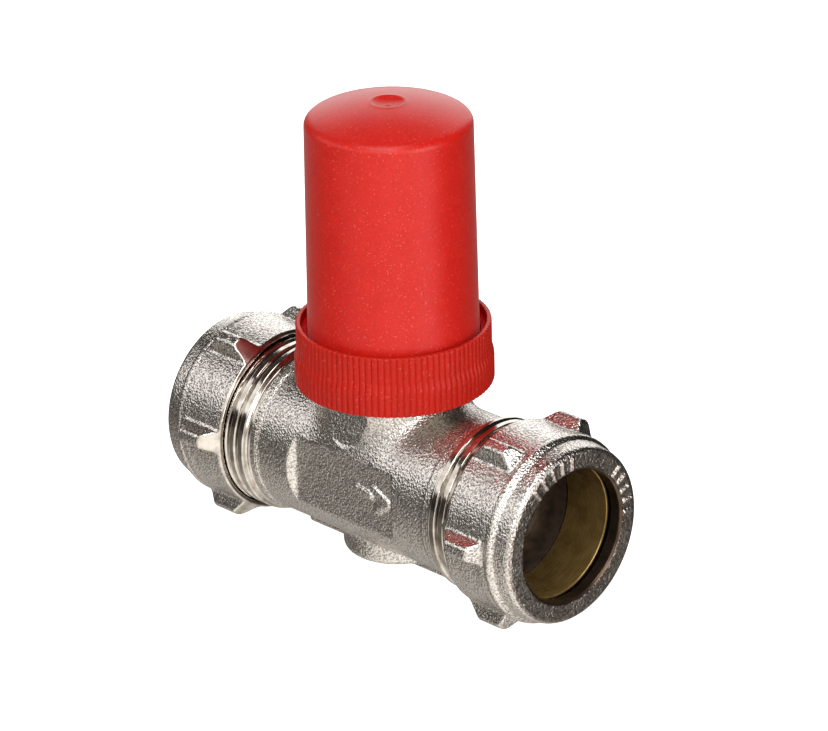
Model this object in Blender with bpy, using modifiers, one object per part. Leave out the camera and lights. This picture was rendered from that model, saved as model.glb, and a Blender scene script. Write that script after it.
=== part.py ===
"""Lockshield valve for 22 mm pipe, as an assembly of separate pieces.

The origin is where the run's axis (X, flow towards +X) crosses the spindle's axis (Z, up).
The body's front panel faces -Y. Every piece that moves turns about, or slides along,
the X or the Z axis through the origin, so every object keeps its origin there.
Sizes below are in millimetres and are turned into metres as the meshes are made.
"""
import math

import bmesh
import bpy
from mathutils import Matrix

MM = 0.001
MERGE_M = 0.00001

# ---- driving dimensions, mm ----
SOCKET_R = 11.05             # socket in the body that a 22 mm pipe slides into
NUT_BORE_R = 11.15           # hole in the nut that the pipe passes through
RUN_R = 13.5                 # outside of the cast run
RUN_END_X = 30.6             # end faces of the two male threads
RUN_THREAD_R = 14.45         # crests of the male threads
RUN_THREAD_DEPTH = 0.95
RUN_PITCH = 2.0
RUN_FIRST_CREST_X = 21.3
CAST_END_X = 20.3            # where the cast run ends and the thread begins
PIPE_STOP_X = 22.5
WATERWAY_R = 9.3
WATERWAY_END_X = 14.0
OLIVE_MOUTH_R = 13.1         # cone in the body's end, at the end face
OLIVE_MOUTH_DEEP_R = 11.75
OLIVE_MOUTH_DEEP_X = 27.7

NUT_IN_X = 26.0              # inner end of a compression nut
NUT_OUT_X = 39.8             # its flat outer face
NUT_R = 15.55
NUT_BEAD_R = 15.85
NUT_BEAD_X = (35.5, 35.9, 36.5, 36.9)    # foot, crest, crest and foot of the bead
NUT_COLLAR_R = 15.2          # between the bead and the outer face
NUT_FACE_R = 14.4
NUT_FACE_SETBACK = 0.6
NUT_THREAD_BORE_R = 14.75
NUT_THREAD_DEEP_X = 32.6     # where the thread bore narrows to a cone that grips the olive
NUT_CONE_R = 11.6
NUT_CONE_END_X = 37.6
NUT_EDGE = 0.3
LUG_COUNT = 6
LUG_PHASE_DEG = 3.0          # angle of the first lug above the front
LUG_TIP_R = 18.1
LUG_ROOT_R = 15.2
LUG_BASE_HALF = 2.05
LUG_TIP_HALF = 0.8
LUG_BASE_X = (26.1, 34.8)
LUG_TIP_X = (28.7, 33.3)

OLIVE_X = (28.0, 36.7)
OLIVE_BORE_R = 11.1
OLIVE_END_R = 11.55
OLIVE_MID_R = 12.6
OLIVE_BEVEL = 2.0

PANEL_Y = 12.2               # flat panels on the run, front and back
PANEL_HALF_X = 11.6
PANEL_HALF_Z = 6.1

NECK_R = 11.9
NECK_TOP_Z = 21.3
COLLAR_R = 14.6              # crests of the thread that the cap's ring screws on
COLLAR_LOW_Z = 16.6
COLLAR_PITCH = 1.5
COLLAR_DEPTH = 0.7
BONNET_BORE_R = 9.9
BONNET_BORE_LOW_Z = 12.0
SEAL_RECESS_R = 11.1
SEAL_RECESS_Z = 19.6
CHAMBER_R = 8.6
CHAMBER_FLOOR_Z = 2.5
SEAT_Z = 3.0
SEAT_OUT_R = 6.4
SEAT_PORT_R = 5.2
PASSAGE_R = 5.5
LOW_PASSAGE_Z = -6.0
LOW_PASSAGE_END_X = 7.0
HIGH_PASSAGE_Z = 6.2
HIGH_PASSAGE_END_X = 7.6
BOSS_R = 9.2
BOSS_Z = -13.6

BONNET_Z = (12.4, 39.5)
BONNET_THREAD_R = 9.6
BONNET_THREAD_DEPTH = 0.5
BONNET_STEM_R = 8.6
BONNET_SHANK_R = 9.3         # between the thread and the hexagon
BONNET_SEAL = (10.25, 0.6, 20.5)         # major and minor radius, and height
EDGE = 0.3                   # bevel on the bonnet's and the spindle's ends
THREAD_CLEAR = 0.1
BONNET_HEX_AF = 19.0
BONNET_HEX_Z = (21.6, 27.8)
GUIDE_HEX_AF = 12.6          # hexagonal guide that stops the plug turning
GUIDE_TOP_Z = 22.1
SPINDLE_BORE_R = 4.3
GLAND_BOX_R = 6.3
GLAND_BOX_LOW_Z = 33.0
GLAND_NUT_AF = 14.0
GLAND_NUT_Z = (37.0, 39.8, 43.5)
GLAND_NUT_R = 5.95
GLAND_RING_R = (4.3, 6.0)
GLAND_PACKING_Z = (33.3, 35.5)
GLAND_FOLLOWER_Z = (35.8, 36.7)
THRUST_R = (4.3, 5.9)
THRUST_Z = (21.2, 21.8)

SPINDLE_R = 4.0
SPINDLE_THREAD_R = 2.9
SPINDLE_THREAD_DEPTH = 0.4
SPINDLE_TIP_R = 2.3
SPINDLE_LOW_Z = 11.2
SPINDLE_COLLAR_R = 5.9
SPINDLE_COLLAR_Z = (19.4, 20.9)
SPINDLE_TOP_Z = 46.4
DRIVE_AF = 5.5
DRIVE_TOP_Z = 53.0
SEAL_GROOVE_R = 2.9
SEAL_GROOVE_HALF = 0.95
SEAL_Z = {"lower": 26.25, "upper": 30.25}
SEAL_MAJOR_R = 3.6
SEAL_MINOR_R = 0.45
SEAL_SIDES = 6
CLIP_GROOVE_Z = (44.3, 45.5)
CLIP_GROOVE_R = 3.3
CLIP_Z = (44.6, 45.2)
CLIP_R = (3.6, 5.6)
CLIP_GAP = 3.0

PLUG_DISC_R = 7.6
PLUG_DISC_Z = (5.6, 8.0)
PLUG_HEX_AF = 12.2
PLUG_TOP_Z = 15.0
PLUG_BORE_R = 3.2
PLUG_BORE_LOW_Z = 6.8
STUD_R = 1.5
STUD_LOW_Z = -0.7
WASHER_BORE_R = 1.9
SEAT_WASHER_R = 7.0
SEAT_WASHER_Z = (3.3, 5.3)
PLATE_R = 4.4
PLATE_Z = (2.3, 3.0)
WASHER_NUT_AF = 5.5
WASHER_NUT_Z = (0.0, 2.0)
WASHER_NUT_BORE_R = 1.8

CAP_Z = (21.6, 64.1)
CAP_LOW_R = 14.0
CAP_SHOULDER_R = 13.62
CAP_SHOULDER_Z = 60.0
CAP_CROWN_R = 12.2           # where the rounded shoulder meets the domed top
CAP_CROWN_Z = 61.72
CAP_INSIDE = ((11.7, 59.0), (10.9, 59.8), (7.0, 61.7))
CAP_WALL = 1.9
CAP_FLANGE_R = 14.6
CAP_FLANGE_TOP_Z = 22.8
DIMPLE_R = 2.9
DIMPLE_DEPTH = 0.6
DIMPLE_FLOOR_R = 2.3

RING_Z = (15.8, 26.05)
RING_LOW_R = 16.3
RING_HIGH_R = 15.95
RING_STEP_Z = (19.8, 21.6)
RING_BORE_R = 14.95
RING_LIP_R = 14.2
RING_LIP_Z = (23.1, 24.4)
RING_RIM_IN_R = 15.2

# facets around each piece
STEPS_BODY = 32
STEPS_CAP = 36
STEPS_SMALL = 24


def fresh_scene():
    for obj in list(bpy.data.objects):
        bpy.data.objects.remove(obj, do_unlink=True)


def new_collection(name):
    collection = bpy.data.collections.new(name)
    bpy.context.scene.collection.children.link(collection)
    return collection


def material(name, color, roughness, metallic):
    mat = bpy.data.materials.new(name)
    mat.use_nodes = True
    shader = mat.node_tree.nodes["Principled BSDF"]
    shader.inputs["Base Color"].default_value = (*color, 1.0)
    shader.inputs["Roughness"].default_value = roughness
    shader.inputs["Metallic"].default_value = metallic
    mat.diffuse_color = (*color, 1.0)
    return mat


def make_object(name, mesh, mat=None):
    """A part when it has a material, otherwise a cutter or a shape to join on."""
    obj = bpy.data.objects.new(name, mesh)
    if mat:
        mesh.materials.append(mat)
        PARTS.objects.link(obj)
    else:
        CUTTERS.objects.link(obj)
        obj.hide_render = True
        obj.display_type = "WIRE"
    return obj


def point_along(obj, axis):
    """Turns a piece made along +Z so that it lies along the named axis."""
    turns = {"+Z": (0, 0, 0), "+X": (0, math.pi / 2, 0), "-X": (0, -math.pi / 2, 0)}
    obj.rotation_euler = turns[axis]


def turned(name, profile, mat=None, steps=STEPS_SMALL, axis="+Z"):
    """Spins a profile of (radius, height) points, in mm, that runs down its outer side."""
    mesh = bpy.data.meshes.new(name)
    points = [(r * MM, 0.0, h * MM) for r, h in profile]
    edges = [(i, i + 1) for i in range(len(points) - 1)]
    if profile[0][0] > 0:
        edges.append((len(points) - 1, 0))
    mesh.from_pydata(points, edges, [])
    obj = make_object(name, mesh, mat)
    screw = obj.modifiers.new("spin", "SCREW")
    screw.axis = "Z"
    screw.angle = 2 * math.pi
    screw.steps = steps
    screw.render_steps = steps
    screw.use_merge_vertices = True
    screw.merge_threshold = MERGE_M
    screw.use_smooth_shade = True
    point_along(obj, axis)
    return obj


def ring_profile(r_in, r_out, low, high):
    return [(r_out, high), (r_out, low), (r_in, low), (r_in, high)]


def solid_profile(radius, low, high):
    return [(0, high), (radius, high), (radius, low), (0, low)]


def prism(name, across_flats, low, high, sides=6, mat=None):
    """An upright prism with flats facing +Y and -Y when it has six sides."""
    mesh = bpy.data.meshes.new(name)
    bm = bmesh.new()
    corner_r = across_flats / 2 / math.cos(math.pi / sides) * MM
    bmesh.ops.create_cone(
        bm, cap_ends=True, segments=sides, radius1=corner_r, radius2=corner_r, depth=(high - low) * MM
    )
    bmesh.ops.translate(bm, verts=bm.verts, vec=(0, 0, (high + low) / 2 * MM))
    bm.to_mesh(mesh)
    bm.free()
    return make_object(name, mesh, mat)


def box(name, low, high):
    mesh = bpy.data.meshes.new(name)
    bm = bmesh.new()
    bmesh.ops.create_cube(bm, size=1.0)
    size = [(b - a) * MM for a, b in zip(low, high)]
    middle = [(a + b) / 2 * MM for a, b in zip(low, high)]
    bmesh.ops.scale(bm, vec=size, verts=bm.verts)
    bmesh.ops.translate(bm, vec=middle, verts=bm.verts)
    bm.to_mesh(mesh)
    bm.free()
    return make_object(name, mesh)


def combine(target, tool, operation):
    mod = target.modifiers.new(tool.name, "BOOLEAN")
    mod.operation = operation
    mod.object = tool
    mod.solver = "EXACT"


def join(target, *tools):
    for tool in tools:
        combine(target, tool, "UNION")


def cut(target, *tools):
    for tool in tools:
        combine(target, tool, "DIFFERENCE")


def ridges(crest_r, depth, pitch, first, last):
    """Thread ridges from height first down to last, as points down an outer side."""
    count = round((first - last) / pitch)
    root_r = crest_r - depth
    points = []
    for i in range(count):
        top = first - i * pitch
        points += [(root_r, top), (crest_r, top - 0.5 * pitch)]
    points.append((root_r, first - count * pitch))
    return points


def make_body():
    end_r = RUN_THREAD_R - RUN_THREAD_DEPTH
    thread = ridges(RUN_THREAD_R, RUN_THREAD_DEPTH, RUN_PITCH, RUN_END_X - 0.2, RUN_FIRST_CREST_X - 1)
    half = [(0, RUN_END_X), (end_r, RUN_END_X), *thread]
    half += [(end_r, CAST_END_X + 0.2), (RUN_R + 0.2, CAST_END_X - 0.3), (RUN_R, CAST_END_X - 2.3)]
    profile = half + [(r, -x) for r, x in reversed(half)]
    body = turned("valve_body", profile, NICKEL, STEPS_BODY, "+X")
    join(body, make_neck_shape(), turned("boss", solid_profile(BOSS_R, BOSS_Z, 0), steps=STEPS_BODY))
    for side in (-1, 1):
        low = (-PANEL_HALF_X, min(side * PANEL_Y, side * 20), -PANEL_HALF_Z)
        high = (PANEL_HALF_X, max(side * PANEL_Y, side * 20), PANEL_HALF_Z)
        cut(body, box("panel_%d" % side, low, high))
    cut(body, make_end_cutter("inlet_bore", "-X"), make_end_cutter("outlet_bore", "+X"))
    cut(body, make_neck_cutter())
    port = turned("seat_port", solid_profile(SEAT_PORT_R, LOW_PASSAGE_Z, SEAT_Z + 1), steps=STEPS_SMALL)
    low_passage = turned(
        "low_passage", solid_profile(PASSAGE_R, -LOW_PASSAGE_END_X, WATERWAY_END_X + 1), axis="-X"
    )
    low_passage.location.z = LOW_PASSAGE_Z * MM
    high_passage = turned(
        "high_passage", solid_profile(PASSAGE_R, HIGH_PASSAGE_END_X, WATERWAY_END_X + 1), axis="+X"
    )
    high_passage.location.z = HIGH_PASSAGE_Z * MM
    cut(body, low_passage, port, high_passage)


def make_neck_shape():
    root_r = COLLAR_R - COLLAR_DEPTH
    thread = ridges(COLLAR_R, COLLAR_DEPTH, COLLAR_PITCH, NECK_TOP_Z - 0.1, COLLAR_LOW_Z)
    profile = [(0, NECK_TOP_Z), (root_r, NECK_TOP_Z), *thread]
    profile += [(NECK_R, COLLAR_LOW_Z - 0.8), (NECK_R, 0), (0, 0)]
    return turned("neck", profile, steps=STEPS_BODY)


def make_end_cutter(name, axis):
    """Socket for the pipe, with the olive's cone at its mouth and the waterway behind it."""
    slope = (OLIVE_MOUTH_R - OLIVE_MOUTH_DEEP_R) / (RUN_END_X - OLIVE_MOUTH_DEEP_X)
    profile = [
        (0, RUN_END_X + 1),
        (OLIVE_MOUTH_R + slope, RUN_END_X + 1),
        (OLIVE_MOUTH_DEEP_R, OLIVE_MOUTH_DEEP_X),
        (SOCKET_R, OLIVE_MOUTH_DEEP_X),
        (SOCKET_R, PIPE_STOP_X),
        (WATERWAY_R, PIPE_STOP_X),
        (WATERWAY_R, WATERWAY_END_X),
        (0, WATERWAY_END_X),
    ]
    return turned(name, profile, steps=STEPS_BODY, axis=axis)


def make_neck_cutter():
    """Bore for the bonnet, chamber for the plug, and the raised seat at its floor."""
    profile = [
        (0, NECK_TOP_Z + 1),
        (SEAL_RECESS_R, NECK_TOP_Z + 1),
        (SEAL_RECESS_R, SEAL_RECESS_Z),
        (BONNET_BORE_R, SEAL_RECESS_Z),
        (BONNET_BORE_R, BONNET_BORE_LOW_Z),
        (CHAMBER_R, BONNET_BORE_LOW_Z),
        (CHAMBER_R, CHAMBER_FLOOR_Z),
        (SEAT_OUT_R, CHAMBER_FLOOR_Z),
        (SEAT_OUT_R, SEAT_Z),
        (0, SEAT_Z),
    ]
    return turned("neck_bore", profile, steps=STEPS_BODY)


def make_lugs(name, axis):
    """Six tapered bars around a nut, along it, with a sloping facet at each end."""
    first = -90 - LUG_PHASE_DEG if axis == "+X" else -90 + LUG_PHASE_DEG
    mesh = bpy.data.meshes.new(name)
    bm = bmesh.new()
    for i in range(LUG_COUNT):
        made = bmesh.ops.create_cube(bm, size=2.0)["verts"]
        for v in made:
            tip = v.co.x > 0
            half = LUG_TIP_HALF if tip else LUG_BASE_HALF
            ends = LUG_TIP_X if tip else LUG_BASE_X
            v.co.y *= half * MM
            v.co.z = ends[1 if v.co.z > 0 else 0] * MM
            v.co.x = (LUG_TIP_R if tip else LUG_ROOT_R) * MM
        turn = math.radians(first + 360 / LUG_COUNT * i)
        bmesh.ops.rotate(bm, verts=made, cent=(0, 0, 0), matrix=Matrix.Rotation(turn, 3, "Z"))
    bm.to_mesh(mesh)
    bm.free()
    lugs = make_object(name, mesh)
    point_along(lugs, axis)
    return lugs


def make_nut(side, axis):
    bead_foot, bead_low, bead_high, bead_end = NUT_BEAD_X
    profile = [
        (NUT_BORE_R, NUT_OUT_X),
        (NUT_FACE_R, NUT_OUT_X),
        (NUT_COLLAR_R - NUT_EDGE, NUT_OUT_X - NUT_FACE_SETBACK),
        (NUT_COLLAR_R, bead_end),
        (NUT_BEAD_R, bead_high),
        (NUT_BEAD_R, bead_low),
        (NUT_R, bead_foot),
        (NUT_R, NUT_IN_X + NUT_EDGE),
        (NUT_R - NUT_EDGE, NUT_IN_X),
        (NUT_THREAD_BORE_R + NUT_EDGE, NUT_IN_X),
        (NUT_THREAD_BORE_R, NUT_IN_X + 2 * NUT_EDGE),
        (NUT_THREAD_BORE_R, NUT_THREAD_DEEP_X),
        (NUT_CONE_R, NUT_CONE_END_X),
        (NUT_BORE_R, NUT_CONE_END_X),
    ]
    nut = turned("compression_nut_" + side, profile, NICKEL_NUT, STEPS_BODY, axis)
    join(nut, make_lugs("lugs_" + side, axis))


def make_olive(side, axis):
    low, high = OLIVE_X
    profile = [
        (OLIVE_END_R, high),
        (OLIVE_MID_R, high - OLIVE_BEVEL),
        (OLIVE_MID_R, low + OLIVE_BEVEL),
        (OLIVE_END_R, low),
        (OLIVE_BORE_R, low),
        (OLIVE_BORE_R, high),
    ]
    turned("olive_" + side, profile, BRASS, STEPS_BODY, axis)


def make_bonnet():
    low, high = BONNET_Z
    thread_top = SEAL_RECESS_Z - 0.2
    root_r = BONNET_THREAD_R - BONNET_THREAD_DEPTH
    thread = ridges(BONNET_THREAD_R, BONNET_THREAD_DEPTH, COLLAR_PITCH, thread_top, low + 0.4)
    profile = [
        (0, high),
        (BONNET_STEM_R - EDGE, high),
        (BONNET_STEM_R, high - EDGE),
        (BONNET_STEM_R, BONNET_HEX_Z[0] + 1),
        (BONNET_SHANK_R, BONNET_HEX_Z[0] + 1),
        (BONNET_SHANK_R, thread_top + THREAD_CLEAR),
        *thread,
        (root_r, low),
        (0, low),
    ]
    bonnet = turned("bonnet", profile, BRASS_PLAIN)
    join(bonnet, prism("bonnet_hex", BONNET_HEX_AF, *BONNET_HEX_Z))
    bore = [
        (0, high + 1),
        (GLAND_BOX_R, high + 1),
        (GLAND_BOX_R, GLAND_BOX_LOW_Z),
        (SPINDLE_BORE_R, GLAND_BOX_LOW_Z),
        (SPINDLE_BORE_R, low - 1),
        (0, low - 1),
    ]
    cut(bonnet, turned("bonnet_bore", bore), prism("plug_guide", GUIDE_HEX_AF, low - 1, GUIDE_TOP_Z))


def make_spindle():
    profile = [(0, SPINDLE_TOP_Z), (SPINDLE_R - EDGE, SPINDLE_TOP_Z), (SPINDLE_R, SPINDLE_TOP_Z - EDGE)]
    grooves = [(CLIP_GROOVE_R, CLIP_GROOVE_Z)]
    for name in ("upper", "lower"):
        middle = SEAL_Z[name]
        grooves.append((SEAL_GROOVE_R, (middle - SEAL_GROOVE_HALF, middle + SEAL_GROOVE_HALF)))
    for floor_r, (low, high) in grooves:
        profile += [(SPINDLE_R, high), (floor_r, high), (floor_r, low), (SPINDLE_R, low)]
    low, high = SPINDLE_COLLAR_Z
    profile += [(SPINDLE_R, high), (SPINDLE_COLLAR_R, high), (SPINDLE_COLLAR_R, low)]
    profile += ridges(SPINDLE_THREAD_R, SPINDLE_THREAD_DEPTH, COLLAR_PITCH, low, SPINDLE_LOW_Z + 0.5)
    profile += [(SPINDLE_TIP_R, SPINDLE_LOW_Z), (0, SPINDLE_LOW_Z)]
    spindle = turned("spindle", profile, BRASS_PLAIN)
    join(spindle, prism("drive_square", DRIVE_AF, SPINDLE_TOP_Z - 0.5, DRIVE_TOP_Z, sides=4))


def make_clip():
    clip = turned("spindle_circlip", ring_profile(*CLIP_R, *CLIP_Z), STEEL)
    gap = box("clip_gap", (0, -CLIP_GAP / 2, CLIP_Z[0] - 1), (CLIP_R[1] + 1, CLIP_GAP / 2, CLIP_Z[1] + 1))
    cut(clip, gap)


def make_o_ring(name, major_r, minor_r, height, mat):
    """A rubber ring, spun from a round section."""
    turns = [-2 * math.pi * i / SEAL_SIDES for i in range(SEAL_SIDES)]
    profile = [(major_r + minor_r * math.cos(t), height + minor_r * math.sin(t)) for t in turns]
    turned(name, profile, mat)


def make_gland():
    turned("gland_packing", ring_profile(*GLAND_RING_R, *GLAND_PACKING_Z), PTFE)
    turned("gland_follower", ring_profile(*GLAND_RING_R, *GLAND_FOLLOWER_Z), BRASS_PLAIN)
    low, middle, high = GLAND_NUT_Z
    nut = turned("gland_nut", solid_profile(GLAND_NUT_R, low, middle + 0.5), BRASS_PLAIN)
    join(nut, prism("gland_hex", GLAND_NUT_AF, middle, high))
    cut(nut, turned("gland_nut_bore", solid_profile(SPINDLE_BORE_R, low - 1, high + 1)))


def make_plug():
    low, high = PLUG_DISC_Z
    profile = [(0, high), (PLUG_DISC_R, high), (PLUG_DISC_R, low), (STUD_R, low), (STUD_R, STUD_LOW_Z)]
    plug = turned("valve_plug", [*profile, (0, STUD_LOW_Z)], BRASS_PLAIN)
    join(plug, prism("plug_hex", PLUG_HEX_AF, high - 0.5, PLUG_TOP_Z))
    cut(plug, turned("plug_bore", solid_profile(PLUG_BORE_R, PLUG_BORE_LOW_Z, PLUG_TOP_Z + 1)))
    turned("seat_washer", ring_profile(WASHER_BORE_R, SEAT_WASHER_R, *SEAT_WASHER_Z), RUBBER)
    turned("washer_plate", ring_profile(WASHER_BORE_R, PLATE_R, *PLATE_Z), STEEL)
    nut = prism("washer_nut", WASHER_NUT_AF, *WASHER_NUT_Z, mat=STEEL)
    nut_low, nut_high = WASHER_NUT_Z
    cut(nut, turned("washer_nut_bore", solid_profile(WASHER_NUT_BORE_R, nut_low - 1, nut_high + 1)))


def dome_points():
    """Down the domed top and round the shoulder of the cap."""
    top, steps = CAP_Z[1], 5
    points = []
    for i in range(1, steps):
        r = DIMPLE_R + (CAP_CROWN_R - DIMPLE_R) * i / steps
        drop = (top - CAP_CROWN_Z) * ((r - DIMPLE_R) / (CAP_CROWN_R - DIMPLE_R)) ** 2
        points.append((r, top - drop))
    for i in range(steps + 1):
        turn = math.pi / 2 * i / steps
        r = CAP_CROWN_R + (CAP_SHOULDER_R - CAP_CROWN_R) * math.sin(turn)
        z = CAP_SHOULDER_Z + (CAP_CROWN_Z - CAP_SHOULDER_Z) * math.cos(turn)
        points.append((r, z))
    return points


def make_cap():
    low, top = CAP_Z
    profile = [(0, top - DIMPLE_DEPTH), (DIMPLE_FLOOR_R, top - DIMPLE_DEPTH), (DIMPLE_R, top)]
    profile += dome_points()
    profile += [
        (CAP_LOW_R, CAP_FLANGE_TOP_Z),
        (CAP_FLANGE_R, CAP_FLANGE_TOP_Z),
        (CAP_FLANGE_R, low),
        (CAP_LOW_R - CAP_WALL, low),
        *CAP_INSIDE,
        (0, top - DIMPLE_DEPTH - CAP_WALL),
    ]
    turned("lockshield_cap", profile, RED_CAP, STEPS_CAP)


def make_ring():
    low, high = RING_Z
    profile = [
        (RING_HIGH_R, high),
        (RING_HIGH_R, RING_STEP_Z[1]),
        (RING_LOW_R, RING_STEP_Z[0]),
        (RING_LOW_R, low),
        (RING_BORE_R, low),
        (RING_BORE_R, RING_LIP_Z[0]),
        (RING_LIP_R, RING_LIP_Z[0]),
        (RING_LIP_R, RING_LIP_Z[1]),
        (RING_RIM_IN_R, RING_LIP_Z[1]),
        (RING_RIM_IN_R, high),
    ]
    turned("cap_ring", profile, RED_RING, STEPS_CAP)


fresh_scene()
PARTS = new_collection("lockshield_valve")
CUTTERS = new_collection("cutters")
NICKEL = material("nickel_body", (0.56, 0.54, 0.51), 0.38, 1.0)
NICKEL_NUT = material("nickel_nut", (0.56, 0.54, 0.51), 0.38, 1.0)
BRASS = material("brass_olive", (0.62, 0.47, 0.18), 0.3, 1.0)
BRASS_PLAIN = material("brass_plain", (0.72, 0.56, 0.26), 0.3, 1.0)
RED_CAP = material("red_cap", (0.72, 0.03, 0.02), 0.42, 0.0)
RED_RING = material("red_ring", (0.72, 0.03, 0.02), 0.42, 0.0)
RUBBER = material("black_rubber", (0.02, 0.02, 0.02), 0.6, 0.0)
PTFE = material("white_ptfe", (0.85, 0.85, 0.82), 0.5, 0.0)
STEEL = material("steel", (0.5, 0.5, 0.5), 0.35, 1.0)

make_body()
for side_name, side_axis in (("left", "-X"), ("right", "+X")):
    make_nut(side_name, side_axis)
    make_olive(side_name, side_axis)
make_bonnet()
make_o_ring("bonnet_o_ring", *BONNET_SEAL, RUBBER)
make_spindle()
make_clip()
turned("thrust_washer", ring_profile(*THRUST_R, *THRUST_Z), PTFE)
for seal_name, seal_z in SEAL_Z.items():
    make_o_ring("spindle_o_ring_" + seal_name, SEAL_MAJOR_R, SEAL_MINOR_R, seal_z, RUBBER)
make_gland()
make_plug()
make_cap()
make_ring()
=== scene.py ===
"""Looks of the lockshield valve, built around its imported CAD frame.

Lengths are in millimetres until a mesh is made, and the frame's axes are kept: X along the run,
Z up the spindle, and the front panel facing -Y. Turned pieces are outlines spun about their axis.
Cast and hexagonal pieces are signed distance fields, negative inside, which skin() covers with quads.
"""

import math

import bpy
import numpy as np
from mathutils import Matrix, Vector


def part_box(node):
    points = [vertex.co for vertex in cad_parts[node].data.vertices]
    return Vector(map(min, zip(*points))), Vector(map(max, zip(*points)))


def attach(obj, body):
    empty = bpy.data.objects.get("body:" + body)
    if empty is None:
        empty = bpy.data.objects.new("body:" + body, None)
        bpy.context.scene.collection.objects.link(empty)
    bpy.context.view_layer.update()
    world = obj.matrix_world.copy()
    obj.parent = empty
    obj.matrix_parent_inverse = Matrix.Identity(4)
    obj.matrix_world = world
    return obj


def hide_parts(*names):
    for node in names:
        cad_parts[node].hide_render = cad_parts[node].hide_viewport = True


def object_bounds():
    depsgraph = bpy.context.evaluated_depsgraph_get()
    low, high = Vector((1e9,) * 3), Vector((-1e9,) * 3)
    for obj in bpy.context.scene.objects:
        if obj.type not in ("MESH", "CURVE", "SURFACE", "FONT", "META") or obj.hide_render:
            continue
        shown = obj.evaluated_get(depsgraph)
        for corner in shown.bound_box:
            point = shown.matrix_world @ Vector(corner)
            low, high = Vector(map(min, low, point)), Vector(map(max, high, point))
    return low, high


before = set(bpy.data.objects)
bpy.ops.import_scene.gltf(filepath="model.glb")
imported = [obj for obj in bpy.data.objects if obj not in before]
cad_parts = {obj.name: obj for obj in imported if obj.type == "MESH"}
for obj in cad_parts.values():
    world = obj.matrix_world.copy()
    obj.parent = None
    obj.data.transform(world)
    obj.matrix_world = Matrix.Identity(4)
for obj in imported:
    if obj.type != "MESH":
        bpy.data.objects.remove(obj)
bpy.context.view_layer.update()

MM = 0.001
TURN = 2 * math.pi
RUN_FACETS = 160              # facets around the run's ends and the olives
CAP_FACETS = 192
COLLAR_FACETS = 144
BONNET_SEAL_FACETS = 128
SMALL_FACETS = 96
TINY_CELL = 0.14              # grids of the skinned pieces, mm
FINE_CELL = 0.2
NUT_CELL = 0.24
BODY_CELL = 0.27


def span(node, axis):
    """Lowest and highest place of a CAD node along an axis, in mm."""
    low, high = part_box(node)
    return low[axis] / MM, high[axis] / MM


# ---- places read from the frame ----
NUT_IN_X, NUT_FACE_X = span("compression_nut_right", 0)
RUN_END_X = span("valve_body", 0)[1]
BOSS_Z, NECK_TOP_Z = span("valve_body", 2)
OLIVE_X = span("olive_right", 0)
CAP_BASE_Z, CAP_TOP_Z = span("lockshield_cap", 2)
CAP_FLANGE_R = span("lockshield_cap", 0)[1]
RING_BASE_Z, RING_TOP_Z = span("cap_ring", 2)
RING_R = span("cap_ring", 0)[1]
BONNET_Z = span("bonnet", 2)
GLAND_NUT_Z = span("gland_nut", 2)
SPINDLE_Z = span("spindle", 2)
PLUG_Z = span("valve_plug", 2)

# ---- the casting ----
RUN_R = 13.5
SHOULDER_R = 13.75
SHOULDER_X = 19.2
CAST_END_X = 20.3
TURNED_FROM_X = 19.55         # where the turning of the run's end begins
NECK_R = 11.9
NECK_CAST_TOP_Z = 16.4
BOSS_R = 9.1
PANEL_Y = 12.2
PANEL_HALF_X = 11.6
PANEL_HALF_Z = 6.05
PANEL_END_SLOPE = 0.77
PANEL_END_RISE = 0.65         # height above the flat at which the panel is PANEL_HALF_X long
PAD_R = 4.6                   # plain round flat on the front of the neck, tilted a little upwards
PAD_Y = 11.0
PAD_Z = 12.0
PAD_TILT = math.radians(14)
FOOT_HALF_X = 17.4            # flat strip along the run's underside
FOOT_HALF_Y = 4.1
SHOULDER_EDGE = 0.6           # roundings of edges, and fillets where two shapes join
SHOULDER_FILLET = 0.4
NECK_FILLET = 2.8
BOSS_EDGE = 1.6
BOSS_FILLET = 0.6
FOOT_EDGE = 0.3
FOOT_END_EDGE = 1.2
FOOT_FILLET = 0.2
PANEL_EDGE = 0.06
PAD_EDGE = 0.12
ARROW_EDGE = 0.35
ARROW_FILLET = 0.3
BARE_SHADED_METAL_DEPTH = 0.12       # faces this near to the water's space are bare metal, darkened as painted shade of the bores
ARROW_HEIGHT = 0.5
ARROW_HALF = 0.7
ARROW_STROKES = (
    ((3.2, 1.1), (6.1, 0.65)),
    ((7.0, 2.1), (10.3, 0.45)),
    ((10.3, 0.45), (7.9, -1.3)),
)
WATERWAY_R = 9.3
WATERWAY_IN_X = 14.0
PASSAGE_R = 5.5
LOW_PASSAGE_Z = -6.0
LOW_PASSAGE_END_X = 7.0
HIGH_PASSAGE_Z = 6.2
CHAMBER_R = 8.6
CHAMBER_FLOOR_Z = 2.5
SEAT_Z = 3.0
SEAT_R = (5.2, 6.4)
BONNET_BORE_R = 9.9
BONNET_BORE_LOW_Z = 12.0
SEAL_RECESS_R = 11.1
SEAL_RECESS_Z = 19.6

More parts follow.
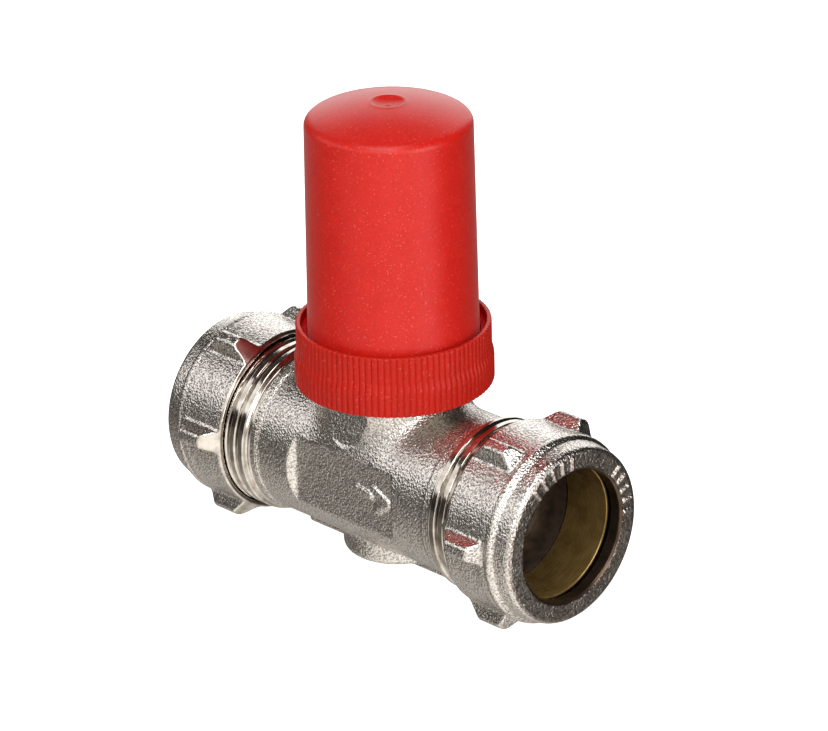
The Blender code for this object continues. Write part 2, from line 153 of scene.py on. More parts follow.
# ---- threads, sockets and nuts ----
THREAD_CREST_R = 14.55
THREAD_DEPTH = 0.8
THREAD_PITCH = 1.97
THREAD_START_X = 20.6
THREAD_CREST_X = 21.3         # where a crest crosses the thread's seam
THREAD_RUN_OUT = 1.1          # length over which the first crest rises
THREAD_LEAD_IN = (0.3, 1.3)   # from the run's end, where the last crest falls away
GROOVE_HALF = 0.27            # of the pitch
COLLAR_CREST_R = 14.55
COLLAR_EDGE_R = 13.7
COLLAR_DEPTH = 0.65
COLLAR_PITCH = 1.5
COLLAR_RUN_OUT = (0.4, 1.2)
COLLAR_LEAD_IN = (0.2, 0.9)
RUN_EDGE_R = 13.5
SOCKET_R = 11.05
SOCKET_SIDE_R = 12.6          # inside this the run's end is bare metal, darkened as painted shade of the socket
PIPE_STOP_X = 22.5
MOUTH_R = (11.75, 13.1)
MOUTH_DEEP_X = 27.7
OLIVE_BORE_R = 11.1
OLIVE_EDGE_R = 11.55
OLIVE_R = 12.6
OLIVE_TAPERS = (3.0, 2.0)     # lengths of its cones, inner and outer
NUT_R = 15.65
NUT_BORE_R = 11.15
NUT_THREAD_R = 14.75
NUT_CONE_IN_X = 32.6
NUT_CONE_OUT_X = 37.6
NUT_CONE_OUT_R = 11.6
NUT_BORE_EDGE = 0.35
NUT_BARREL_SETBACK = 4.6      # from the nut's face, as the bead's and the collar's places are
NUT_BEAD_SETBACK = 4.05
NUT_BEAD_SINK = 0.62          # of the bead's centre, below the barrel's surface
NUT_BEAD_R = 0.82
NUT_COLLAR_SETBACK = 6.0
NUT_COLLAR_R = 15.12          # halfway along the collar
NUT_COLLAR_TAPER = 0.11
NUT_TURNED_R = 15.35
NUT_TURNED_SLOPE = 0.98       # rise of the cone that is turned on the inner ends of the lugs
LUG_COUNT = 6
LUG_PHASE = math.radians(3.0)
LUG_CREST_R = 18.08
LUG_HALF = 1.1
LUG_FLANK = 0.34
LUG_ROOT = 2.0                # depth to which a lug reaches into the barrel
LUG_CREST_END_X = 33.3
LUG_FOOT_END_X = 34.6
LUG_EDGE = 0.7
LUG_END_EDGE = 0.4
LUG_FILLET = 0.55
NUT_BARREL_EDGE = 0.6
NUT_COLLAR_EDGE = 1.0
NUT_COLLAR_FILLET = 0.8
NUT_BEAD_FILLET = 0.3
TICK_R = (11.9, 13.7)
TICK_HALF = 0.34
TICK_HEIGHT = 0.35
TICK_STEP = math.radians(9.5)
TICK_GROUPS = (math.radians(52.0), math.radians(142.0))
TICKS_IN_GROUP = 5
TICK_EDGE = 0.45
TICK_FILLET = 0.2

# ---- headwork ----
BONNET_REACH = 11.2           # half the width of the grid that a piece is skinned on
GLAND_NUT_REACH = 8.2
SPINDLE_REACH = 6.0
CLIP_REACH = 5.7
PLUG_REACH = 7.7
WASHER_NUT_REACH = 3.4
HEX_CHAMFER = 0.6
HEX_CHAMFER_SLOPE = (0.5, 0.87)
BONNET_STEM_R = 8.6
BONNET_STEM_LOW_Z = 20.0
BONNET_ROOT_R = 9.35
BONNET_ROOT_TOP_Z = 22.6
BONNET_AF = 19.0
BONNET_HEX_Z = (21.6, 27.8)
BONNET_GUIDE_AF = 12.6        # hexagonal hole that keeps the plug from turning
BONNET_GUIDE_TOP_Z = 22.1
BONNET_SEAL_R = (10.25, 0.6)
BONNET_SEAL_Z = 20.5
STEM_HOLE_R = 4.3
PACKING_SPACE_R = 6.3
PACKING_SPACE_Z = 33.0
PACKING_R = 6.0
PACKING_Z = (33.3, 35.5)
FOLLOWER_Z = (35.8, 36.7)
GLAND_NUT_AF = 14.0
GLAND_NUT_TAIL = 2.8
GLAND_NUT_TAIL_R = 5.95
THRUST_R = 5.9
THRUST_Z = (21.2, 21.8)
STEM_R = 4.0
STEM_TOP_Z = 46.4
DRIVE_AF = 5.5
COLLAR_R = 5.9
COLLAR_Z = (19.4, 20.9)
SCREW_R = 2.45                # of the screw's root
SCREW_DEPTH = 0.4
SEAL_Z = (26.25, 30.25)
SEAL_R = (3.6, 0.45)
SEAL_SIDES = 16               # of the seals' round section
SEAL_GROOVE_R = 2.9
SEAL_GROOVE_HALF = 0.95
CLIP_GROOVE_R = 3.3
CLIP_GROOVE_Z = (44.3, 45.5)
CLIP_Z = (44.6, 45.2)
CLIP_R = (3.6, 5.6)
CLIP_GAP_HALF = 1.5
PLUG_DISC_R = 7.6
PLUG_DISC_Z = (5.6, 8.0)
PLUG_STUD_R = 1.5
PLUG_STUD_TOP_Z = 6.5
PLUG_GUIDE_AF = 12.2
PLUG_GUIDE_LOW_Z = 7.0
PLUG_HOLE_R = 3.2
PLUG_HOLE_LOW_Z = 6.8
STUD_HOLE_R = 1.9
SEAT_WASHER_R = 7.0
SEAT_WASHER_Z = (3.3, 5.3)
WASHER_PLATE_R = 4.4
WASHER_PLATE_Z = (2.3, 3.0)
WASHER_NUT_AF = 5.5
WASHER_NUT_Z = (0.0, 2.0)
WASHER_NUT_HOLE_R = 1.8

# ---- cap and ring ----
CAP_LOW_R = 14.0
CAP_SHOULDER_R = 13.62
CAP_SHOULDER_DROP = 3.9
CAP_CROWN_R = 12.3            # where the dome passes into the rounded shoulder
CAP_CROWN_DROP = 2.96         # of the dome, carried on out to the shoulder's radius
CAP_WALL = 1.9
CAP_FLANGE_TOP_Z = 22.8
DIMPLE_R = 2.9
DIMPLE_DEPTH = 0.75
DIMPLE_POWER = 2.6            # the higher it is, the flatter the dimple's floor
DIMPLE_PIP = ((0.0, 0.1), (0.22, 0.08), (0.42, 0.0))  # radius and height of the mould's mark
RIB_COUNT = 96
RIB_DEPTH = 0.2
RIB_FACETS = 12
RING_STEP = 0.35
RING_STEP_Z = (19.6, 21.8)
RING_BORE_R = 14.95
RING_LIP_R = 14.06
RING_LIP_Z = (23.1, 24.4)
RING_RIM_R = 15.15
RING_RIM_EDGE = 0.45          # width of the rim over which the ribs fade

# ---- camera, fitted so that the round edges lie where the reference shows them ----
CAMERA_AZIMUTH = 45.55        # degrees, as the elevation is; 0 looks along +Y
CAMERA_ELEVATION = 24.593
CAMERA_ROLL = math.radians(-1.344)
CAMERA_DISTANCE = 900.0
CAMERA_OFFSET = (2.776, 16.097)
CAMERA_LENS = 238.47
SENSOR_WIDTH = 36.0

# ---- lights and surroundings ----
LIGHT_DISTANCE = 0.9          # m
# azimuth and elevation in degrees, width and height in metres, and radiance
LIGHTS = (
    ("key_left", -31, 31, (1.3, 0.52), 1.06),
    ("key_right", 42, 36, (0.6, 0.66), 2.45),
    ("side_right", 92, 12, (0.5, 0.8), 3.6),
    ("back_left", -140, 19, (0.8, 0.75), 1.3),
    ("overhead", 30, 74, (0.42, 0.42), 4.0),
)
# color of the surroundings, from straight down (0) to straight up (1)
WORLD_STOPS = (
    (0.0, (0.72, 0.69, 0.65)),
    (0.12, (0.54, 0.515, 0.48)),
    (0.22, (0.245, 0.232, 0.212)),
    (0.40, (0.15, 0.142, 0.13)),
    (0.455, (0.125, 0.118, 0.108)),
    (0.48, (0.042, 0.038, 0.035)),
    (0.60, (0.042, 0.037, 0.033)),
    (0.75, (0.075, 0.064, 0.058)),
    (1.0, (0.05, 0.036, 0.032)),
)
# brighter parts of the table: azimuth, elevation, inner and outer reach in degrees, and gain
LIT_TABLE = (
    (34, -34, 36, 64, 0.75),
    (52, -22, 10, 26, 0.6),
)
DARK_CORNER = (148, -5, 28, 75, -0.6)
TABLE_GLOW = (1.0, 0.97, 0.93, 1)
FLOOR_HALF = 4000
FLOOR_GAP = 0.02              # below the lowest lugs


# ------------------------------------------------------------------ meshes


def make_mesh(name, points, *face_sets):
    """A smooth-shaded object from points in mm and arrays of quads or triangles."""
    mesh = bpy.data.meshes.new(name)
    faces = [face for faces in face_sets for face in np.asarray(faces).tolist()]
    mesh.from_pydata((np.asarray(points) * MM).tolist(), [], faces)
    mesh.validate()
    mesh.shade_smooth()
    obj = bpy.data.objects.new(name, mesh)
    bpy.context.scene.collection.objects.link(obj)
    return obj


def along_x(points):
    """Turns points made about the Z axis so that they lie about the X axis."""
    return points[..., [2, 0, 1]]


def turned(name, outline, segments, ripple=None, axis="Z", crease=35.0):
    """Spins an outline of (radius, height) points. One that starts at radius 0 also ends there."""
    outline = np.array(outline, float)
    if outline[0, 0] < 1e-6:
        poles = outline[[0, -1], 1]
        outline = outline[1:-1]
    else:
        poles = None
    count = len(outline)
    angle = np.arange(segments) * TURN / segments
    radius = np.repeat(outline[:, :1], segments, axis=1)
    height = np.repeat(outline[:, 1:], segments, axis=1)
    if ripple:
        radius = radius + ripple(angle[None, :], radius, height)
    rows = np.stack([radius * np.cos(angle), radius * np.sin(angle), height], axis=2)
    ids = np.arange(count * segments).reshape(count, segments)
    following = np.roll(ids, -1, axis=1)
    below = range(count - 1) if poles is not None else range(count)
    quads = [
        np.stack([ids[i], ids[(i + 1) % count], following[(i + 1) % count], following[i]], axis=1)
        for i in below
    ]
    points = rows.reshape(-1, 3)
    triangles = []
    if poles is not None:
        points = np.vstack([points, [[0, 0, poles[0]], [0, 0, poles[1]]]])
        top, bottom = count * segments, count * segments + 1
        triangles.append(np.stack([ids[0], following[0], np.full(segments, top)], axis=1))
        triangles.append(np.stack([following[-1], ids[-1], np.full(segments, bottom)], axis=1))
    if axis == "X":
        points = along_x(points)
    obj = make_mesh(name, points, *quads, *triangles)
    obj.data.set_sharp_from_angle(angle=math.radians(crease))
    return obj


def rounded(corners, steps=4, is_open=False):
    """Outline through (radius, height, setback) corners, each rounded off over its setback."""
    points = []
    count = len(corners)
    for i, (r, h, setback) in enumerate(corners):
        corner = np.array((r, h), float)
        if setback <= 0 or (is_open and i in (0, count - 1)):
            points.append(corner)
            continue
        before = np.array(corners[i - 1][:2], float) - corner
        after = np.array(corners[(i + 1) % count][:2], float) - corner
        start = corner + before / np.linalg.norm(before) * min(setback, np.linalg.norm(before) / 2)
        end = corner + after / np.linalg.norm(after) * min(setback, np.linalg.norm(after) / 2)
        for k in range(steps + 1):
            t = k / steps
            points.append(start * (1 - t) ** 2 + corner * 2 * t * (1 - t) + end * t * t)
    return points


def crossings(value, axis):
    """Grid edges along an axis that pass through the surface: their corner, and how far along it lies."""
    first = [slice(None)] * 3
    second = [slice(None)] * 3
    first[axis] = slice(None, -1)
    second[axis] = slice(1, None)
    a, b = value[tuple(first)], value[tuple(second)]
    corner = np.argwhere((a < 0) != (b < 0))
    picked = tuple(corner.T)
    return corner, a[picked] / (a[picked] - b[picked]), a[picked] < 0


def skin(name, field, low, high, cell, crease=50.0):
    """Covers the surface of field(x, y, z) with quads, one point to each grid cell it passes through."""
    axes = [np.arange(a - 1.5 * cell, b + 2.5 * cell, cell) for a, b in zip(low, high)]
    sizes = [len(a) for a in axes]
    value = np.broadcast_to(field(*np.meshgrid(*axes, indexing="ij", sparse=True)), sizes)
    cells, places, quads = [], [], []
    for axis in range(3):
        corner, share, starts_inside = crossings(value, axis)
        place = corner.astype(float)
        place[:, axis] += share
        side_a, side_b = [np.eye(3, dtype=int)[(axis + k) % 3] for k in (1, 2)]
        around = [corner - side_a - side_b, corner - side_b, corner, corner - side_a]
        flat = np.stack([np.ravel_multi_index(c.T, sizes) for c in around], axis=1)
        flat[~starts_inside] = flat[~starts_inside][:, ::-1]
        quads.append(flat)
        cells.append(flat.ravel())
        places.append(np.repeat(place, 4, axis=0))
    used, index = np.unique(np.concatenate(cells), return_inverse=True)
    places = np.concatenate(places)
    total = np.stack([np.bincount(index, places[:, k], len(used)) for k in range(3)], axis=1)
    points = total / np.bincount(index, minlength=len(used))[:, None]
    points = points * cell + [a[0] for a in axes]
    points = pull_onto(field, points, cell)
    obj = make_mesh(name, points, index.reshape(-1, 4))
    obj.data.set_sharp_from_angle(angle=math.radians(crease))
    return obj


def pull_onto(field, points, cell):
    """Moves points onto the field's surface along its slope, by at most half a cell."""
    nudge = 0.1 * cell
    for _ in range(3):
        x, y, z = points.T
        slope = np.stack(
            [
                field(x + nudge, y, z) - field(x - nudge, y, z),
                field(x, y + nudge, z) - field(x, y - nudge, z),
                field(x, y, z + nudge) - field(x, y, z - nudge),
            ],
            axis=1,
        ) / (2 * nudge)
        steep = np.maximum((slope**2).sum(axis=1), 0.25)
        move = -(field(x, y, z) / steep)[:, None] * slope
        length = np.maximum(np.linalg.norm(move, axis=1), 1e-9)
        points = points + move * np.minimum(1, 0.5 * cell / length)[:, None]
    return points


def mirror_x(obj, name):
    """A copy of obj on the other side of the spindle."""
    mesh = obj.data.copy()
    mesh.name = name
    points = np.empty(len(mesh.vertices) * 3, np.float32)
    mesh.vertices.foreach_get("co", points)
    points[::3] *= -1
    mesh.vertices.foreach_set("co", points)
    mesh.flip_normals()
    copy = bpy.data.objects.new(name, mesh)
    bpy.context.scene.collection.objects.link(copy)
    return copy


def give(obj, *materials):
    for material in materials:
        obj.data.materials.append(material)
    return obj


def paint(obj, material_number):
    """Gives each face the material number that material_number(x, y, z) says for its middle."""
    middle = np.empty(len(obj.data.polygons) * 3, np.float32)
    obj.data.polygons.foreach_get("center", middle)
    numbers = material_number(*(middle.reshape(-1, 3) / MM).T)
    obj.data.polygons.foreach_set("material_index", numbers.astype(np.int32))


def mount(obj, body, node):
    """Lets a piece ride on a CAD body and stand for a CAD node."""
    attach(obj, body)
    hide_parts(node)


# ------------------------------------------------------------------ fields


def join(a, b, blend=0.0):
    """Either of two shapes, with a fillet where they meet."""
    if not blend:
        return np.minimum(a, b)
    share = np.maximum(blend - np.abs(a - b), 0) / blend
    return np.minimum(a, b) - share * share * blend / 4


def both(a, b, blend=0.0):
    """What two shapes have in common, with its edge rounded."""
    return -join(-a, -b, blend)


def cut(a, b, blend=0.0):
    return both(a, -b, blend)


def slab(v, low, high):
    return np.abs(v - (low + high) / 2) - (high - low) / 2


def rod(a, b, radius):
    return np.hypot(a, b) - radius


def hexagon(x, y, across_flats):
    half = across_flats / 2
    slant = math.sqrt(3) / 2
    return np.maximum(np.abs(y), np.abs(y) / 2 + slant * np.abs(x)) - half


def stroke(u, v, start, end, half):
    """Flat stroke with round ends, from start to end."""
    du, dv = end[0] - start[0], end[1] - start[1]
    along = ((u - start[0]) * du + (v - start[1]) * dv) / (du * du + dv * dv)
    along = np.clip(along, 0, 1)
    return np.hypot(u - start[0] - along * du, v - start[1] - along * dv) - half


def cast_outside(x, y, z):
    reach = np.abs(x)
    run = rod(y, z, RUN_R)
    shoulder = both(rod(y, z, SHOULDER_R), SHOULDER_X - reach, SHOULDER_EDGE)
    run = both(join(run, shoulder, SHOULDER_FILLET), reach - CAST_END_X)
    run = np.maximum(run, (np.hypot(y, z) - SHOULDER_R + reach - TURNED_FROM_X) / math.sqrt(2))
    neck = both(rod(x, y, NECK_R), slab(z, 0, NECK_CAST_TOP_Z), 0.3)
    boss = both(rod(x, y, BOSS_R), slab(z, BOSS_Z, 0), BOSS_EDGE)
    foot = both(slab(y, -FOOT_HALF_Y, FOOT_HALF_Y), slab(z, BOSS_Z, 0), FOOT_EDGE)
    foot = both(foot, reach - FOOT_HALF_X, FOOT_END_EDGE)
    shape = join(run, neck, NECK_FILLET)
    shape = join(shape, boss, BOSS_FILLET)
    return join(shape, foot, FOOT_FILLET)


def panel_cut(x, y, z):
    """Space in front of a flat panel, with end walls that lean outwards."""
    deep = np.abs(y)
    ends = np.abs(x) - PANEL_HALF_X - PANEL_END_SLOPE * (deep - PANEL_Y - PANEL_END_RISE)
    space = both(PANEL_Y - deep, ends / math.hypot(1, PANEL_END_SLOPE), 0.2)
    return both(space, slab(z, -PANEL_HALF_Z, PANEL_HALF_Z))


def pad_cut(x, y, z):
    """Space in front of the round flat on the neck."""
    front = math.cos(PAD_TILT) * (y + PAD_Y) - math.sin(PAD_TILT) * (z - PAD_Z)
    return both(rod(x, z - PAD_Z, PAD_R), front, 0.4)


def arrow(x, y, z):
    strokes = [stroke(x, z, start, end, ARROW_HALF) for start, end in ARROW_STROKES]
    flat = np.minimum.reduce(np.broadcast_arrays(*strokes))
    return both(flat, slab(y, -PANEL_Y - ARROW_HEIGHT, -PANEL_Y + 1), ARROW_EDGE)


def water_space(x, y, z):
    """Bores, passages and chamber inside the casting."""
    reach = np.abs(x)
    space = both(rod(y, z, WATERWAY_R), WATERWAY_IN_X - reach)
    low = both(rod(y, z - LOW_PASSAGE_Z, PASSAGE_R), slab(x, -WATERWAY_IN_X - 1, LOW_PASSAGE_END_X))
    high = both(rod(y, z - HIGH_PASSAGE_Z, PASSAGE_R), slab(x, CHAMBER_R - 1, WATERWAY_IN_X + 1))
    chamber = both(rod(x, y, CHAMBER_R), CHAMBER_FLOOR_Z - z)
    rim = both(rod(x, y, SEAT_R[1]), z - SEAT_Z)
    port = both(rod(x, y, SEAT_R[0]), LOW_PASSAGE_Z - z)
    bonnet_bore = both(rod(x, y, BONNET_BORE_R), BONNET_BORE_LOW_Z - z)
    chamber = join(cut(chamber, rim), both(port, z - CHAMBER_R))
    return join(join(join(space, low), high), join(chamber, bonnet_bore))


def casting(x, y, z):
    shape = cut(cast_outside(x, y, z), panel_cut(x, y, z), PANEL_EDGE)
    shape = cut(shape, pad_cut(x, y, z), PAD_EDGE)
    shape = join(shape, arrow(x, y, z), ARROW_FILLET)
    return cut(shape, water_space(x, y, z))


def lug(x, y, z, angle):
    """One bar along the nut, at an angle from the front towards the top."""
    out = -math.cos(angle) * y + math.sin(angle) * z
    side = math.sin(angle) * y + math.cos(angle) * z
    flank = (np.abs(side) - LUG_HALF - LUG_FLANK * (LUG_CREST_R - out)) / math.hypot(1, LUG_FLANK)
    bar = both(flank, out - LUG_CREST_R, LUG_EDGE)
    rise = (LUG_FOOT_END_X - LUG_CREST_END_X) / (LUG_CREST_R - NUT_R)
    end = (x - LUG_CREST_END_X - rise * (LUG_CREST_R - out)) / math.hypot(1, rise)
    bar = both(bar, end, LUG_END_EDGE)
    return np.maximum(bar, NUT_R - LUG_ROOT - out)


def turned_end(x, radius):
    """Cone that is turned on the nut's inner end, through the ends of its lugs."""
    return (radius - NUT_TURNED_R - NUT_TURNED_SLOPE * (x - NUT_IN_X)) / math.hypot(1, NUT_TURNED_SLOPE)


def nut_outside(x, y, z):
    radius = np.hypot(y, z)
    barrel = slab(x, NUT_IN_X, NUT_FACE_X - NUT_BARREL_SETBACK)
    barrel = both(radius - NUT_R, barrel, NUT_BARREL_EDGE)
    bead = np.hypot(x - NUT_FACE_X + NUT_BEAD_SETBACK, radius - NUT_R + NUT_BEAD_SINK) - NUT_BEAD_R
    collar_r = NUT_COLLAR_R - NUT_COLLAR_TAPER * (x - NUT_FACE_X + NUT_COLLAR_SETBACK / 2)
    collar = slab(x, NUT_FACE_X - NUT_COLLAR_SETBACK, NUT_FACE_X)
    collar = both(radius - collar_r, collar, NUT_COLLAR_EDGE)
    shape = join(join(barrel, collar, NUT_COLLAR_FILLET), bead, NUT_BEAD_FILLET)
    bars = [lug(x, y, z, LUG_PHASE + i * TURN / LUG_COUNT) for i in range(LUG_COUNT)]
    shape = join(shape, np.minimum.reduce(bars), LUG_FILLET)
    shape = np.maximum(shape, turned_end(x, radius))
    return np.maximum(shape, NUT_IN_X - x)


def ticks(x, y, z):
    """Plain raised marks on the outer face."""
    marks = []
    for first in TICK_GROUPS:
        for i in range(TICKS_IN_GROUP):
            angle = first + i * TICK_STEP
            spoke = [(-r * math.cos(angle), r * math.sin(angle)) for r in TICK_R]
            marks.append(stroke(y, z, spoke[0], spoke[1], TICK_HALF))
    raised = slab(x, NUT_FACE_X - 1, NUT_FACE_X + TICK_HEIGHT)
    return both(np.minimum.reduce(marks), raised, TICK_EDGE)


def nut_space(x, y, z):
    """Hole for the pipe, cone for the olive, and threaded bore."""
    radius = np.hypot(y, z)
    slope = (NUT_THREAD_R - NUT_CONE_OUT_R) / (NUT_CONE_OUT_X - NUT_CONE_IN_X)
    cone = (radius - NUT_THREAD_R + slope * (x - NUT_CONE_IN_X)) / math.hypot(1, slope)
    wide = both(np.maximum(cone, radius - NUT_THREAD_R), x - NUT_CONE_OUT_X)
    edge = (radius - NUT_BORE_R - NUT_BORE_EDGE + NUT_FACE_X - x) / math.sqrt(2)
    return join(join(wide, radius - NUT_BORE_R), edge)


def nut(x, y, z):
    return cut(join(nut_outside(x, y, z), ticks(x, y, z), TICK_FILLET), nut_space(x, y, z))


def chamfered_hexagon(x, y, z, across_flats, low, high):
    """Hexagon with its corners turned off at both ends."""
    corner = across_flats / math.sqrt(3)
    flat, steep = HEX_CHAMFER_SLOPE
    past_corner = (np.hypot(x, y) - corner + HEX_CHAMFER) * flat
    top = past_corner + (z - high) * steep
    bottom = past_corner + (low - z) * steep
    shape = both(hexagon(x, y, across_flats), slab(z, low, high), 0.15)
    return np.maximum(shape, np.maximum(top, bottom))


def bonnet(x, y, z):
    low, high = BONNET_Z
    radius = np.hypot(x, y)
    stem = both(radius - BONNET_STEM_R, slab(z, BONNET_STEM_LOW_Z, high), 0.5)
    root = both(radius - BONNET_ROOT_R, slab(z, low, BONNET_ROOT_TOP_Z), 0.3)
    shape = join(join(root, stem, 0.2), chamfered_hexagon(x, y, z, BONNET_AF, *BONNET_HEX_Z), 0.4)
    guide = both(hexagon(x, y, BONNET_GUIDE_AF), z - BONNET_GUIDE_TOP_Z)
    bore = join(radius - STEM_HOLE_R, both(radius - PACKING_SPACE_R, PACKING_SPACE_Z - z))
    return cut(shape, join(guide, bore), 0.15)


def gland_nut(x, y, z):
    low, high = GLAND_NUT_Z
    hexagonal = chamfered_hexagon(x, y, z, GLAND_NUT_AF, low + GLAND_NUT_TAIL, high)
    shape = join(hexagonal, both(rod(x, y, GLAND_NUT_TAIL_R), slab(z, low, high), 0.2))
    return cut(shape, rod(x, y, STEM_HOLE_R), 0.2)


def spindle(x, y, z):
    low, high = SPINDLE_Z
    radius = np.hypot(x, y)
    stem = both(radius - STEM_R, slab(z, COLLAR_Z[0], STEM_TOP_Z), 0.5)
    for place in SEAL_Z:
        groove = slab(z, place - SEAL_GROOVE_HALF, place + SEAL_GROOVE_HALF)
        stem = cut(stem, both(SEAL_GROOVE_R - radius, groove), 0.1)
    stem = cut(stem, both(CLIP_GROOVE_R - radius, slab(z, *CLIP_GROOVE_Z)), 0.1)
    square = np.maximum(np.abs(x + y), np.abs(x - y)) / math.sqrt(2) - DRIVE_AF / 2
    square = both(square, slab(z, STEM_TOP_Z - 1, high), 0.5)
    collar = both(radius - COLLAR_R, slab(z, *COLLAR_Z), 0.3)
    rise = np.arctan2(y, x) / TURN * COLLAR_PITCH
    wave = np.abs(((z - rise) / COLLAR_PITCH) % 1 - 0.5) * 2
    screw = both(radius - SCREW_R - SCREW_DEPTH * wave, slab(z, low, COLLAR_Z[0] + 0.5), 0.3)
    return join(join(stem, square, 0.2), join(collar, screw, 0.2), 0.2)


def plug(x, y, z):
    low, high = PLUG_Z
    radius = np.hypot(x, y)
    disc = both(radius - PLUG_DISC_R, slab(z, *PLUG_DISC_Z), 0.4)
    stud = both(radius - PLUG_STUD_R, slab(z, low, PLUG_STUD_TOP_Z), 0.3)
    guide = both(hexagon(x, y, PLUG_GUIDE_AF), slab(z, PLUG_GUIDE_LOW_Z, high), 0.3)
    shape = join(join(disc, guide, 0.2), stud, 0.2)
    return cut(shape, both(radius - PLUG_HOLE_R, PLUG_HOLE_LOW_Z - z), 0.2)


def washer_nut(x, y, z):
    return cut(chamfered_hexagon(x, y, z, WASHER_NUT_AF, *WASHER_NUT_Z), rod(x, y, WASHER_NUT_HOLE_R))


def circlip(x, y, z):
    """Ring that is open on one side."""
    ring = both(rod(x, y, CLIP_R[1]), CLIP_R[0] - np.hypot(x, y))
    gap = both(np.abs(y) - CLIP_GAP_HALF, -x)
    return both(cut(ring, gap, 0.3), slab(z, *CLIP_Z), 0.1)


# ------------------------------------------------------------------ outlines of turned pieces


def ease(v, low, high):
    t = np.clip((v - low) / (high - low), 0, 1)
    return t * t * (3 - 2 * t)


def thread_wave(turns):
    """1 on the flat crests and 0 in the narrow grooves between them."""
    return ease(np.abs(turns % 1 - 0.5), 0, GROOVE_HALF)


def run_thread_ripple(angle, radius, height):
    wave = thread_wave((height - THREAD_CREST_X) / THREAD_PITCH - angle / TURN)
    fade = ease(RUN_END_X - height, *THREAD_LEAD_IN)
    fade = fade * ease(height, THREAD_START_X, THREAD_START_X + THREAD_RUN_OUT)
    outside = ease(radius, SHOULDER_R + 0.1, THREAD_CREST_R - 0.1)
    return outside * THREAD_DEPTH * (wave * fade - 1)


def collar_ripple(angle, radius, height):
    wave = thread_wave(height / COLLAR_PITCH - angle / TURN)
    fade = ease(height - NECK_CAST_TOP_Z, *COLLAR_RUN_OUT)
    fade = fade * ease(NECK_TOP_Z - height, *COLLAR_LEAD_IN)
    outside = ease(radius, COLLAR_EDGE_R - 0.1, COLLAR_EDGE_R + 0.2)
    return outside * COLLAR_DEPTH * (wave * fade - 1)


def run_end_outline():
    """Threaded end: thread outside, cone for the olive, socket, pipe stop and waterway inside."""
    thread = [(THREAD_CREST_R, h) for h in np.arange(RUN_END_X - 0.1, THREAD_START_X, -0.1)]
    return [
        (MOUTH_R[1], RUN_END_X),
        (RUN_EDGE_R, RUN_END_X),
        *thread,
        (SHOULDER_R + 0.02, THREAD_START_X),
        (SHOULDER_R + 0.02, TURNED_FROM_X + 0.1),
        (SHOULDER_R - 0.5, TURNED_FROM_X - 0.1),
        (WATERWAY_R - 0.02, TURNED_FROM_X - 0.1),
        (WATERWAY_R - 0.02, PIPE_STOP_X - 0.15),
        (WATERWAY_R + 0.13, PIPE_STOP_X),
        (SOCKET_R, PIPE_STOP_X),
        (SOCKET_R, MOUTH_DEEP_X),
        (MOUTH_R[0], MOUTH_DEEP_X),
    ]


def collar_outline():
    thread = [(COLLAR_CREST_R, h) for h in np.arange(NECK_TOP_Z - 0.1, NECK_CAST_TOP_Z + 0.2, -0.1)]
    return [
        (SEAL_RECESS_R, NECK_TOP_Z),
        (COLLAR_EDGE_R, NECK_TOP_Z),
        *thread,
        (NECK_R - 0.3, NECK_CAST_TOP_Z - 0.2),
        (BONNET_BORE_R - 0.02, NECK_CAST_TOP_Z - 0.2),
        (BONNET_BORE_R - 0.02, SEAL_RECESS_Z),
        (SEAL_RECESS_R, SEAL_RECESS_Z),
    ]


def olive_outline():
    low, high = OLIVE_X
    return rounded(
        [
            (OLIVE_EDGE_R, high, 0.15),
            (OLIVE_R, high - OLIVE_TAPERS[1], 0.8),
            (OLIVE_R, low + OLIVE_TAPERS[0], 0.8),
            (OLIVE_EDGE_R, low, 0.15),
            (OLIVE_BORE_R, low, 0.25),
            (OLIVE_BORE_R, high, 0.25),
        ]
    )


def crown_height(r):
    return CAP_TOP_Z - CAP_CROWN_DROP * (r / CAP_SHOULDER_R) ** 2


def cap_outline():
    """Domed top with its dimple, rounded shoulder, tapered wall, flange and hollow inside."""
    shoulder_z = CAP_TOP_Z - CAP_SHOULDER_DROP
    crown_z = crown_height(CAP_CROWN_R)
    dimple_z = CAP_TOP_Z - DIMPLE_DEPTH
    points = [(r, dimple_z + rise) for r, rise in DIMPLE_PIP]
    for r in np.linspace(0.8, DIMPLE_R - 0.1, 9):
        points.append((r, dimple_z + DIMPLE_DEPTH * (r / DIMPLE_R) ** DIMPLE_POWER))
    for r in np.linspace(DIMPLE_R + 0.12, CAP_CROWN_R, 14):
        points.append((r, crown_height(r)))
    knee = CAP_SHOULDER_R - CAP_CROWN_R
    knee_z = crown_z - 2 * CAP_CROWN_DROP * CAP_CROWN_R / CAP_SHOULDER_R**2 * knee
    for t in np.linspace(0, 1, 12)[1:]:
        out = CAP_SHOULDER_R - knee * (1 - t) ** 2
        height = crown_z * (1 - t) ** 2 + 2 * knee_z * t * (1 - t) + shoulder_z * t**2
        points.append((out, height))
    wall_low = [
        (CAP_SHOULDER_R, shoulder_z, 0.0),
        (CAP_LOW_R, CAP_FLANGE_TOP_Z, 0.3),
        (CAP_FLANGE_R, CAP_FLANGE_TOP_Z, 0.2),
        (CAP_FLANGE_R, CAP_BASE_Z, 0.2),
        (CAP_LOW_R - CAP_WALL, CAP_BASE_Z, 0.2),
        (CAP_SHOULDER_R - CAP_WALL, shoulder_z - 1, 1.5),
        (CAP_CROWN_R - 1, crown_z - CAP_WALL, 1.0),
        (0.0, dimple_z - CAP_WALL, 0.0),
    ]
    return points + rounded(wall_low, is_open=True)[1:]


